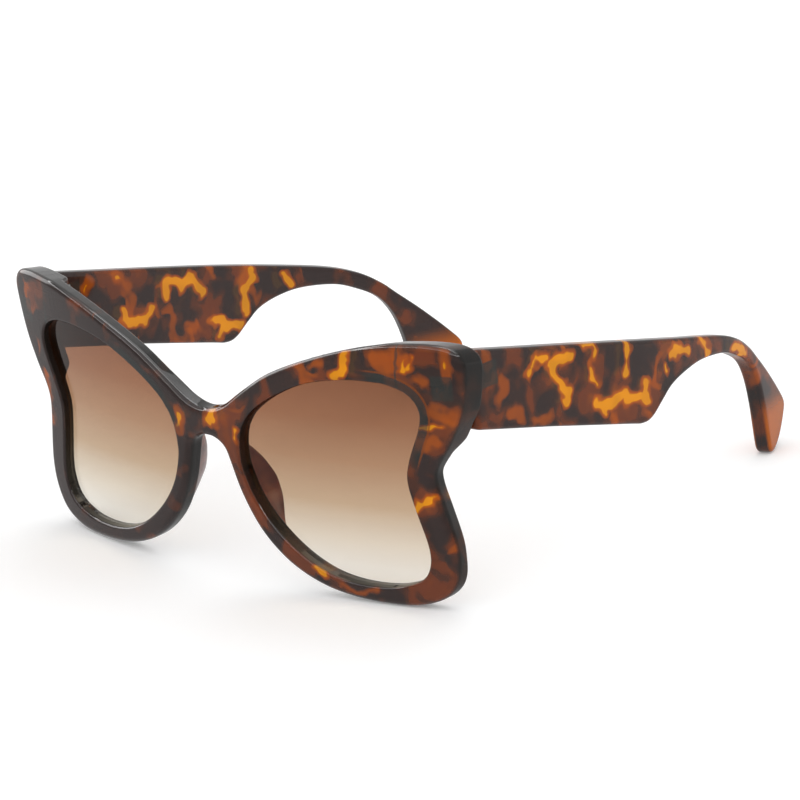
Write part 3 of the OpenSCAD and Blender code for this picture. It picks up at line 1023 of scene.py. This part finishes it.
def streak_group(name, first_axis, amber_rows, honey_rows):
    group, start, end = new_group(name, {"Vector": "Vector"}, {"Amber": "Float", "Honey": "Float"})
    uneven = maths(group, "SUBTRACT", noise(group, start["Vector"], UNEVEN_SCALE), NOISE_MIDDLE)
    uneven = times(group, uneven, STREAK_UNEVEN)
    axes = split(group, warped_by(group, start["Vector"], STREAK_SWIRL_SCALE, STREAK_SWIRL))
    spot = node(group, "ShaderNodeCombineXYZ", {"X": axes[first_axis], "Y": axes["Z"]}).outputs[0]
    for label, rows in (("Amber", amber_rows), ("Honey", honey_rows)):
        inward = -HEIGHT
        for half_width, *places in rows:
            points = [Vector((*place, 0)) * MM for place in places]
            for a, b in zip(points, points[1:]):
                distance = distance_to_line(group, spot, a, b)
                depth_in = maths(group, "SUBTRACT", half_width * STREAK_SWELL, distance)
                inward = maths(group, "SMOOTH_MAX", inward, depth_in, STREAK_MELT)
        put(group, end[label], maths(group, "ADD", inward, uneven))
    print(name, "uses", len(group.nodes), "nodes")
    return group


def add_streaks(tree, place, group, colour):
    streaks = node(tree, "ShaderNodeGroup", node_tree=group)
    put(tree, streaks.inputs["Vector"], place)
    amber, honey = streaks.outputs["Amber"], streaks.outputs["Honey"]
    halo = maths(tree, "MAXIMUM", between(tree, amber, *AMBER_HALO),
                 times(tree, between(tree, honey, *HONEY_EDGE), HONEY_SHARE))
    colour = mix_colour(tree, times(tree, halo, HALO_STRENGTH), colour, HONEY)
    return mix_colour(tree, between(tree, amber, *AMBER_EDGE), colour, AMBER)


front_streaks = streak_group("front_streaks", "X", FRONT_AMBER, FRONT_HONEY)
near_streaks = streak_group("near_streaks", "Y", NEAR_AMBER, NEAR_HONEY)
far_streaks = streak_group("far_streaks", "Y", FAR_AMBER, FAR_HONEY)

# %% [markdown]
# What lies inside the sheet shows through it, and bent light moves it a little outward and down.
# On the front that is the hinge plate. A wavy dark line where the end piece gets deeper is
# painted shade, and so is a dark band on one side of each opening, with a thin painted glow
# along it. The clouds are also painted darker towards the far end, as painted shade.

# %% Forms seen inside the front, with painted shade and glow
# A dark tone for the hinge plates seen through the sheet and for the painted shade.
SMOKE_AND_PAINTED_SHADE = rgb(52, 60, 58)
# The tone of the painted glow beside the openings.
PAINTED_GLOW = rgb(150, 76, 26)
FORM_SOFT = 0.2 * MM
PLATE_SEEN = (1.0 * MM, 5.8 * MM)
PLATE_LOWER = 1.8 * MM
PLATE_LOW = HEIGHT - HINGE_DROP - HINGE_TALL / 2 - PLATE_LOWER
FRONT_PLATE_SHARE = 0.7
STEP_SEEN = (55.0 * MM, 55.6 * MM)
STEP_WAVE = 6 * MM
STEP_HEIGHTS = (46 * MM, 50 * MM)
STEP_SHARE = 0.7
BAND_NEAR = (47 * MM, 75 * MM)
BAND_FAR = (-28 * MM, 0)
BAND_ENDS_SOFT = 3 * MM
BAND_HEIGHTS = (30 * MM, 36 * MM)
BAND_EDGE = (2.5 * MM, 2.1 * MM)
BAND_SHARE = 0.7
GLOW_LINE = (2.4 * MM, 2.8 * MM)
GLOW_FADES = (0, 10 * MM)
GLOW_SHARE = 0.8
FAR_SHADE_OVER = (10 * MM, -35 * MM)
FAR_SHADE_BY = (0.01, 0.12)


def attribute(tree, name):
    return node(tree, "ShaderNodeAttribute", attribute_name=name).outputs["Fac"]


def at_plate_height(tree, height):
    return inside_span(tree, height, PLATE_LOW, PLATE_LOW + HINGE_TALL, FORM_SOFT)


def inside_front(tree, place, pattern, colour):
    axes = split(tree, place)
    # Painted shade: the clouds get darker towards the far side.
    put(tree, pattern.inputs["Darkness"], spread(tree, axes["X"], *FAR_SHADE_OVER, *FAR_SHADE_BY))

    from_opening = attribute(tree, "from_opening")
    # Painted shade: a dark band along one side of each opening.
    sides = maths(tree, "MAXIMUM", inside_span(tree, axes["X"], *BAND_NEAR, BAND_ENDS_SOFT),
                  inside_span(tree, axes["X"], *BAND_FAR, BAND_ENDS_SOFT))
    sides = times(tree, sides, between(tree, axes["Z"], *BAND_HEIGHTS))
    band = times(tree, between(tree, from_opening, *BAND_EDGE), sides)
    colour = mix_colour(tree, times(tree, band, BAND_SHARE), colour, SMOKE_AND_PAINTED_SHADE)
    # Painted glow: a thin light line along that dark band.
    line = times(tree, inside_span(tree, from_opening, *GLOW_LINE, FORM_SOFT), sides,
                 between(tree, axes["X"], *GLOW_FADES))
    colour = mix_colour(tree, times(tree, line, GLOW_SHARE), colour, PAINTED_GLOW)

    across = maths(tree, "ABSOLUTE", axes["X"])
    # Painted shade: a wavy dark line where the end piece gets deeper.
    wave = times(tree, maths(tree, "SUBTRACT", pattern.outputs["Light"], NOISE_MIDDLE), STEP_WAVE)
    step = times(tree, inside_span(tree, maths(tree, "ADD", across, wave), *STEP_SEEN, FORM_SOFT),
                 between(tree, axes["Z"], *STEP_HEIGHTS))
    colour = mix_colour(tree, times(tree, step, STEP_SHARE), colour, SMOKE_AND_PAINTED_SHADE)

    plate_in, plate_out = (hinge_point.x + edge for edge in PLATE_SEEN)
    plate = times(tree, inside_span(tree, across, plate_in, plate_out, FORM_SOFT),
                  at_plate_height(tree, axes["Z"]))
    return mix_colour(tree, times(tree, plate, FRONT_PLATE_SHARE), colour, SMOKE_AND_PAINTED_SHADE)


print("hinge plates show from", round(PLATE_LOW / MM, 1), "mm up")

# %% [markdown]
# Inside a temple it is the hinge leaf that shows. The tip is thin and stands against the light,
# which comes through its broad faces so strongly that it glows amber; this glow is painted into
# the colour of the lower tip.

# %% Forms seen inside a temple, and the painted glow of its tip
PAINTED_TIP_GLOW = rgb(214, 110, 4)
TIP_HEIGHTS = (15 * MM, 8 * MM)
TIP_BACK = (48 * MM, 55 * MM)
PAINTED_TIP_SHARE = 0.85
TEMPLE_PLATE_SHARE = 0.8
LEAF_SEEN = TEMPLE_LEAF_START + TEMPLE_LEAF_LONG


def inside_temple(tree, place, pattern, colour):
    axes = split(tree, place)
    broad_face = maths(tree, "SUBTRACT", 1.0, attribute(tree, "wall"))
    # Painted glow: the lower tail tip is coloured as if lit through.
    tip = times(tree, between(tree, axes["Z"], *TIP_HEIGHTS), broad_face, between(tree, axes["Y"], *TIP_BACK))
    colour = mix_colour(tree, times(tree, tip, PAINTED_TIP_SHARE), colour, PAINTED_TIP_GLOW)
    back = maths(tree, "SUBTRACT", axes["Y"], hinge_point.y)
    plate = times(tree, inside_span(tree, back, 0, LEAF_SEEN, FORM_SOFT), at_plate_height(tree, axes["Z"]))
    return mix_colour(tree, times(tree, plate, TEMPLE_PLATE_SHARE), colour, SMOKE_AND_PAINTED_SHADE)


print("hinge leaves show over", round(LEAF_SEEN / MM, 1), "mm")

# %% [markdown]
# Each material then adds the shell of polish. Acetate is smooth and clear at its surface, and
# some light passes through it, so the pattern on its back shows softly behind that on its face.
# The walls are painted darker as painted shade, and a shadow that falls through the sheet takes a deep brown
# tone.

# %% Tortoise material
ACETATE_IOR = 1.49
ACETATE_CLEAR = 0.35
POLISHED = 0.04
SHADOW_DEPTH = 0.6


def mirror_ray(tree, rays):
    not_passing = maths(tree, "SUBTRACT", 1.0, rays["Is Transmission Ray"])
    return times(tree, rays["Is Glossy Ray"], not_passing)


def acetate(name, shown_inside, streaks, wall_shade, darkness=0.0):
    made, tree, surface = material(name)
    place = object_place(tree)
    pattern = node(tree, "ShaderNodeGroup", node_tree=tortoise_group)
    put(tree, pattern.inputs["Vector"], place)
    put(tree, pattern.inputs["Darkness"], darkness)
    colour = add_streaks(tree, place, streaks, pattern.outputs["Colour"])
    colour = shown_inside(tree, place, pattern, colour)
    # Painted shade: the walls are made darker, towards a deep tone.
    colour = mix_colour(tree, times(tree, attribute(tree, "wall"), wall_shade), colour, DEEP)
    shell = principled(tree, Base_Color=colour, Roughness=POLISHED, IOR=ACETATE_IOR,
                       Transmission_Weight=ACETATE_CLEAR)
    passing = shader(tree, "ShaderNodeBsdfTransparent", Color=mix_colour(tree, SHADOW_DEPTH, colour, DEEP))
    put(tree, surface, mix_shaders(tree, ray_kinds(tree)["Is Shadow Ray"], shell, passing))
    print(name, "uses", len(tree.nodes), "nodes")
    return made


front_acetate = acetate("tortoise_front", inside_front, front_streaks, wall_shade=0.88)
near_acetate = acetate("tortoise_temple_left", inside_temple, near_streaks, wall_shade=0.35, darkness=0.025)
# Painted shade: the far arm's clouds are made darker than the near arm's.
far_acetate = acetate("tortoise_temple_right", inside_temple, far_streaks, wall_shade=0.35, darkness=0.055)

# %% [markdown]
# The lenses are clear sheet dyed brown at the top and fading downwards. The dye is a ramp on
# the height, close to the tones that are seen against white. Shadow rays and rays from a
# polished wall go straight through it and take its tone.

# %% Lens material
LENS_DYE = [(0.12, rgb(242, 237, 227)), (0.22, rgb(228, 216, 198)), (0.36, rgb(196, 169, 140)),
            (0.52, rgb(172, 134, 104)), (0.68, rgb(148, 102, 74)), (0.82, rgb(132, 86, 60))]
LENS_IOR = 1.45
lens_glass, tree, surface = material("brown_gradient_lens")
share = maths(tree, "DIVIDE", split(tree, object_place(tree))["Z"], HEIGHT)
dye = ramp(tree, share, LENS_DYE)
clear = principled(tree, Base_Color=dye, Roughness=0.0, IOR=LENS_IOR, Transmission_Weight=1.0)
passing = shader(tree, "ShaderNodeBsdfTransparent", Color=dye)
rays = ray_kinds(tree)
straight = maths(tree, "MAXIMUM", rays["Is Shadow Ray"], mirror_ray(tree, rays))
put(tree, surface, mix_shaders(tree, straight, clear, passing))
print("lens dye has", len(LENS_DYE), "tones")

# %% [markdown]
# The nose pads are plain reddish brown plastic with faint clouds in it. The hinges and screws
# are brushed metal, with fine lines that change the tone and the sheen a little.

# %% Pad and metal materials
PAD_TONES = [(0.35, rgb(92, 42, 26)), (0.55, rgb(134, 66, 40)), (0.70, rgb(160, 90, 52))]
PAD_CLOUD_SCALE = 160.0
BRUSH_SCALE = 900.0
BRUSH_STRETCH = 14.0
BRUSH_DARK = 0.8
BRUSH_STOPS = (0.3, 0.7)
BRUSH_SHEEN = 0.2

pad_finish, tree, surface = material("amber_pad")
pad_colour = ramp(tree, noise(tree, object_place(tree), PAD_CLOUD_SCALE, detail=2.0), PAD_TONES)
put(tree, surface, principled(tree, Base_Color=pad_colour, Roughness=0.25, IOR=ACETATE_IOR,
                              Coat_Weight=1.0, Coat_Roughness=0.08))
print("pad finish uses", len(tree.nodes), "nodes")


def metal(name, colour, roughness):
    made, tree, surface = material(name)
    brushed = node(tree, "ShaderNodeMapping", {"Vector": object_place(tree), "Scale": (1, 1, BRUSH_STRETCH)})
    lines = noise(tree, brushed.outputs[0], BRUSH_SCALE, detail=3.0)
    darker = tuple(value * BRUSH_DARK for value in colour)
    tone = ramp(tree, lines, list(zip(BRUSH_STOPS, (darker, colour))))
    sheen = maths(tree, "ADD", times(tree, lines, BRUSH_SHEEN), roughness)
    put(tree, surface, principled(tree, Base_Color=tone, Roughness=sheen, Metallic=1.0))
    print(name, "uses", len(tree.nodes), "nodes")
    return made


hinge_metal = metal("hinge_nickel", rgb(205, 203, 198), roughness=0.22)
screw_metal = metal("screw_steel", rgb(190, 190, 192), roughness=0.18)

# %% [markdown]
# The pieces modelled here get their own finishes. The hinges and screws are the CAD's own
# nodes, and their slots take the two metals.

# %% Finishes on their pieces
def dress(piece, finish):
    piece.data.materials.clear()
    piece.data.materials.append(finish)


dress(front, front_acetate)
dress(temple_left, near_acetate)
dress(temple_right, far_acetate)
for piece in (lens_left, lens_right):
    dress(piece, lens_glass)
for piece in (pad_left, pad_right):
    dress(piece, pad_finish)
for name, packed in frame["nodes"].items():
    if "hinge" in name or "screw" in name:
        finish = screw_metal if "screw" in name else hinge_metal
        for slot in packed.material_slots:
            slot.material = finish
        print(name, "is in", finish.name)

# %% [markdown]
# The table is white paper that runs out of sight and keeps the soft shadows. A little light of
# its own, seen by the camera and through the lenses only, lifts it to white. A polished edge
# sees it dimmer, and brighter towards the back, so that the lowest edges stay dark.

# %% Floor
FLOOR_SIZE = 12
FLOOR_LIFT = 0.14
FLOOR_BACKWARDS = (-0.6, 0.8, 0.0)
FLOOR_FADE = (-0.25, 0.15)
FLOOR_MIRRORED = (0.25, 0.7)
PAPER_TONES = [(0.0, (0.94, 0.94, 0.94)), (1.0, (0.97, 0.97, 0.97))]
PAPER_SCALE = 40.0
WHITE = (1, 1, 1, 1)

floor = new_piece("floor", bpy.ops.mesh.primitive_plane_add, size=FLOOR_SIZE)
floor_finish, tree, surface = material("white_table")
paper = node(tree, "ShaderNodeTexNoise", {"Scale": PAPER_SCALE, "Detail": 2.0}).outputs["Fac"]
matte = principled(tree, Base_Color=ramp(tree, paper, PAPER_TONES), Roughness=0.9, Specular_IOR_Level=0.1)
rays = ray_kinds(tree)
seen = maths(tree, "ADD", rays["Is Camera Ray"], rays["Is Transmission Ray"], clamp=True)
lift = shader(tree, "ShaderNodeEmission", Color=WHITE, Strength=times(tree, seen, FLOOR_LIFT))
paper_white = node(tree, "ShaderNodeAddShader", {0: matte, 1: lift}).outputs[0]
spot = node(tree, "ShaderNodeNewGeometry").outputs["Position"]
behind = along_way(tree, spot, FLOOR_BACKWARDS)
mirrored = spread(tree, behind, *FLOOR_FADE, *FLOOR_MIRRORED)
glow = shader(tree, "ShaderNodeEmission", Color=WHITE, Strength=mirrored)
put(tree, surface, mix_shaders(tree, mirror_ray(tree, rays), paper_white, glow))
dress(floor, floor_finish)
print("floor of", FLOOR_SIZE, "m")

# %% [markdown]
# A white sky of strength one lights a colour about as it is written. In a mirror the studio
# looks different: it is dim, with softboxes behind the glasses and beside them, a brighter
# ceiling and narrow strip lights high up. So polished edges catch thin clear highlights while
# the broad faces stay deep.

# %% Sky
SKY_STRENGTH = 1.0
DIM = (0.35, 0.45)
DIM_FROM_FRONT = (-0.6, 0.6)
SOFTBOXES = [((-0.66, 0.64, 0.38), (0.86, 0.92), 0.25), ((-0.93, 0.00, 0.37), (0.92, 0.97), 3.0)]
CEILING = (0.70, 0.80)
CEILING_POWER = 0.8
STRIP_HEIGHTS = (0.63, 0.69)
STRIP_ENDS = (0.40, 0.25)
LINE_BACK = (0.18, 0.30)
LINE_HEIGHT = (0.84, 0.88)
STRIP_SOFT = 0.02
STRIP_POWER = 7.0

world = bpy.data.worlds.new("studio_sky")
world.use_nodes = True
bpy.context.scene.world = world
tree = world.node_tree
heading = node(tree, "ShaderNodeTexCoord").outputs["Generated"]
axes = split(tree, heading)
reflected = spread(tree, axes["Y"], *DIM_FROM_FRONT, *DIM)
reflected = maths(tree, "ADD", reflected, times(tree, between(tree, axes["Z"], *CEILING), CEILING_POWER))
for middle, edge, power in SOFTBOXES:
    facing = along_way(tree, heading, Vector(middle).normalized())
    reflected = maths(tree, "ADD", reflected, times(tree, between(tree, facing, *edge), power))
strip = times(tree, inside_span(tree, axes["Z"], *STRIP_HEIGHTS, STRIP_SOFT),
              between(tree, axes["Y"], *STRIP_ENDS))
far_line = times(tree, inside_span(tree, axes["Y"], *LINE_BACK, STRIP_SOFT),
                 between(tree, axes["Z"], *LINE_HEIGHT))
strips = times(tree, maths(tree, "MAXIMUM", strip, far_line), STRIP_POWER)
reflected = maths(tree, "ADD", reflected, strips)
mirrors = mirror_ray(tree, ray_kinds(tree))
strength = mix_numbers(tree, mirrors, SKY_STRENGTH, reflected)
background = tree.nodes["Background"]
put(tree, background.inputs["Color"], WHITE)
put(tree, background.inputs["Strength"], strength)
print("sky with", len(SOFTBOXES), "softboxes uses", len(tree.nodes), "nodes")

# %% [markdown]
# The sky alone would leave the shadows without a direction. One wide, weak lamp above and
# behind the glasses gives them one, and stays too weak to change the colours.

# %% Lamp
LAMP_PLACE = Vector((-0.2, 0.5, 0.9))
LAMP_AIM = Vector((0, 0, 0.02))
LAMP_SIZE = 0.6
LAMP_POWER = 1.0

light = bpy.data.lights.new("lamp_above", "AREA")
light.shape = "DISK"
light.size = LAMP_SIZE
light.energy = LAMP_POWER
lamp = bpy.data.objects.new("lamp_above", light)
bpy.context.scene.collection.objects.link(lamp)
lamp.location = LAMP_PLACE
lamp.rotation_euler = (LAMP_AIM - LAMP_PLACE).to_track_quat("-Z", "Y").to_euler()
print("lamp of", LAMP_POWER, "W,", LAMP_SIZE, "m wide")

# %% [markdown]
# The camera stands to the left of the wearer and a little above, with a long lens. Its turn,
# rise, roll and distance come from matching the outline of the front and the temples to the
# picture, so the same corners fall on the same places.

# %% Camera
VIEW_TURN = math.radians(45.91)
VIEW_RISE = math.radians(17.70)
VIEW_ROLL = math.radians(-6.17)
VIEW_MIDDLE = Vector((-7.5, 1.3, 19.6)) * MM
VIEW_DISTANCE = 1120 * MM
LENS_LONG = 221.3
SENSOR = 36
SEEN_AS_FAR_AS = 20

backwards = Vector((math.sin(VIEW_TURN) * math.cos(VIEW_RISE), -math.cos(VIEW_TURN) * math.cos(VIEW_RISE),
                    math.sin(VIEW_RISE)))
level = Vector((math.cos(VIEW_TURN), math.sin(VIEW_TURN), 0))
upright = level.cross(-backwards)
right = level * math.cos(VIEW_ROLL) + upright * math.sin(VIEW_ROLL)
up = upright * math.cos(VIEW_ROLL) - level * math.sin(VIEW_ROLL)
camera = bpy.data.objects.new("camera", bpy.data.cameras.new("camera"))
bpy.context.scene.collection.objects.link(camera)
camera.data.lens = LENS_LONG
camera.data.sensor_width = SENSOR
camera.matrix_world = Matrix.Translation(VIEW_MIDDLE + backwards * VIEW_DISTANCE) @ Matrix(
    (right, up, backwards)).transposed().to_4x4()
camera.data.clip_end = SEEN_AS_FAR_AS
bpy.context.scene.camera = camera
print("camera at", [round(v / MM) for v in camera.matrix_world.translation], "mm")

# %% [markdown]
# The view stays plain, so that the colours come out as written.

bpy.context.scene.view_settings.view_transform = "Standard"
print("view transform:", bpy.context.scene.view_settings.view_transform)
